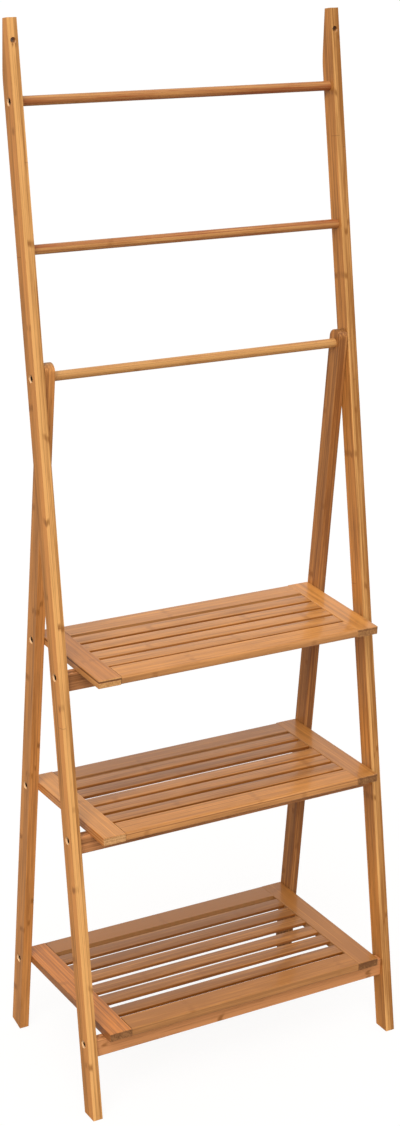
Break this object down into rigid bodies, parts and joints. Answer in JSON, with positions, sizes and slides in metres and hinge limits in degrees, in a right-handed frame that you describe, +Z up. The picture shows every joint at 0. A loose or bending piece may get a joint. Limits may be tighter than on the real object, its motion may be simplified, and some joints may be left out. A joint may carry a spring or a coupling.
{
  "type": "standing towel rack",
  "caption": "Folding ladder towel rack of laminated bamboo: leaning uprights, hinged rear legs, round towel bars and slatted shelves that fold up.",
  "frame": {"origin": "centre of the rack's footprint, on the surface it stands on", "axes": "+Z up, -Y towards the front where the shelves open, +X to the right as seen from the front; the wall would be at +Y"},
  "size_m": [0.518, 0.2944, 1.5],
  "materials": {
    "upright_bamboo": "satin lacquered laminated bamboo, honey",
    "leg_bamboo": "satin lacquered laminated bamboo, deeper tone",
    "bar_bamboo": "satin lacquered turned bamboo",
    "stretcher_bamboo": "satin lacquered laminated bamboo",
    "rail_bamboo": "satin lacquered laminated bamboo",
    "slat_bamboo": "satin lacquered bamboo strip",
    "screw_steel": "dark burnished steel"
  },
  "bodies": {
    "front_frame": {"left_upright": "upright_bamboo", "right_upright": "upright_bamboo", "top_bar": "bar_bamboo", "middle_bar": "bar_bamboo", "stretcher_1": "stretcher_bamboo", "stretcher_2": "stretcher_bamboo", "stretcher_3": "stretcher_bamboo", "left_top_bar_screw": "screw_steel", "right_top_bar_screw": "screw_steel", "left_stretcher_1_screw": "screw_steel", "right_stretcher_1_screw": "screw_steel", "left_stretcher_2_screw": "screw_steel", "right_stretcher_2_screw": "screw_steel", "left_stretcher_3_screw": "screw_steel", "right_stretcher_3_screw": "screw_steel"},
    "rear_frame": {"left_rear_leg": "leg_bamboo", "right_rear_leg": "leg_bamboo", "pivot_bar": "bar_bamboo", "left_pivot_screw": "screw_steel", "right_pivot_screw": "screw_steel", "left_shelf_1_screw": "screw_steel", "right_shelf_1_screw": "screw_steel", "left_shelf_2_screw": "screw_steel", "right_shelf_2_screw": "screw_steel", "left_shelf_3_screw": "screw_steel", "right_shelf_3_screw": "screw_steel"},
    "shelf_1": {"shelf_1_left_end_rail": "rail_bamboo", "shelf_1_right_end_rail": "rail_bamboo", "shelf_1_rear_rail": "rail_bamboo", "shelf_1_front_rail": "rail_bamboo", "shelf_1_slat_1": "slat_bamboo", "shelf_1_slat_2": "slat_bamboo", "shelf_1_slat_3": "slat_bamboo", "shelf_1_slat_4": "slat_bamboo"},
    "shelf_2": {"shelf_2_left_end_rail": "rail_bamboo", "shelf_2_right_end_rail": "rail_bamboo", "shelf_2_rear_rail": "rail_bamboo", "shelf_2_front_rail": "rail_bamboo", "shelf_2_slat_1": "slat_bamboo", "shelf_2_slat_2": "slat_bamboo", "shelf_2_slat_3": "slat_bamboo", "shelf_2_slat_4": "slat_bamboo", "shelf_2_slat_5": "slat_bamboo"},
    "shelf_3": {"shelf_3_left_end_rail": "rail_bamboo", "shelf_3_right_end_rail": "rail_bamboo", "shelf_3_rear_rail": "rail_bamboo", "shelf_3_front_rail": "rail_bamboo", "shelf_3_slat_1": "slat_bamboo", "shelf_3_slat_2": "slat_bamboo", "shelf_3_slat_3": "slat_bamboo", "shelf_3_slat_4": "slat_bamboo", "shelf_3_slat_5": "slat_bamboo", "shelf_3_slat_6": "slat_bamboo"}
  },
  "joints": [
    {"name": "frame_fold", "type": "hinge", "parent": "front_frame", "child": "rear_frame", "pos_m": [0, 0.0603, 1.033], "axis": [-1, 0, 0], "range_deg": [0, 11.5]},
    {"name": "shelf_1_hinge", "type": "hinge", "parent": "rear_frame", "child": "shelf_1", "pos_m": [0, 0.08806, 0.64501], "axis": [-1, 0, 0], "range_deg": [0, 87.9]},
    {"name": "shelf_2_hinge", "type": "hinge", "parent": "rear_frame", "child": "shelf_2", "pos_m": [0, 0.1047, 0.41248], "axis": [-1, 0, 0], "range_deg": [0, 85.9]},
    {"name": "shelf_3_hinge", "type": "hinge", "parent": "rear_frame", "child": "shelf_3", "pos_m": [0, 0.1257, 0.119], "axis": [-1, 0, 0], "range_deg": [0, 85.9]}
  ]
}
